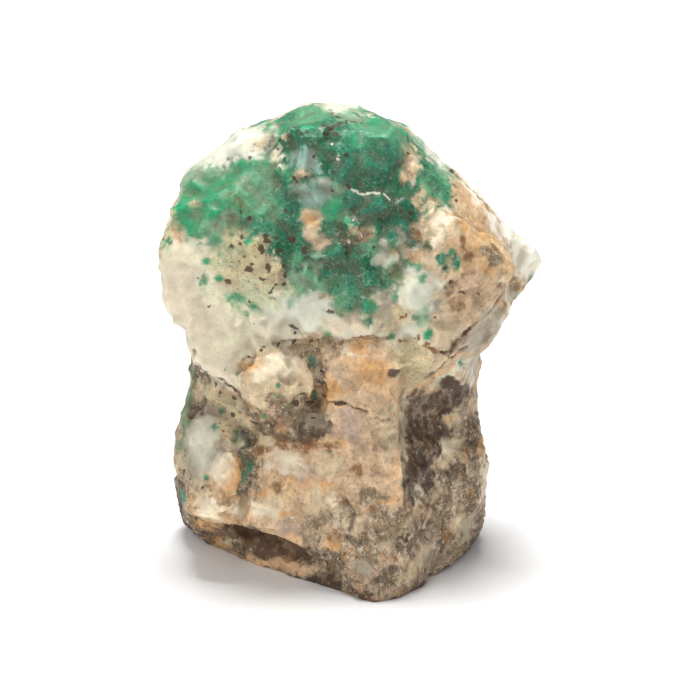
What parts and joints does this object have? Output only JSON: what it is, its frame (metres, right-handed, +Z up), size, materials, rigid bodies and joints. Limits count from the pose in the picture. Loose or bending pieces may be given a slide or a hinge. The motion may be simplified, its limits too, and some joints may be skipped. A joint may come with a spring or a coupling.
{
  "type": "emerald in matrix specimen",
  "caption": "Rough mineral specimen: a mass of green beryl grown together in a rock of pale quartz, feldspar and schist, standing on its broken underside.",
  "frame": {"origin": "on the level resting face, under the middle of the stone", "axes": "+Z up, +X to the right and +Y away from a viewer who looks at the emerald face"},
  "size_m": [0.0383, 0.0259, 0.0472],
  "materials": {
    "matrix_rock": "broken quartz, feldspar and mica schist, uneven and mostly dull, with glassy quartz faces",
    "emerald_beryl": "granular green beryl, partly translucent, with a glassy lustre"
  },
  "bodies": {
    "root": {"matrix": "matrix_rock", "emerald": "emerald_beryl"}
  },
  "joints": []
}
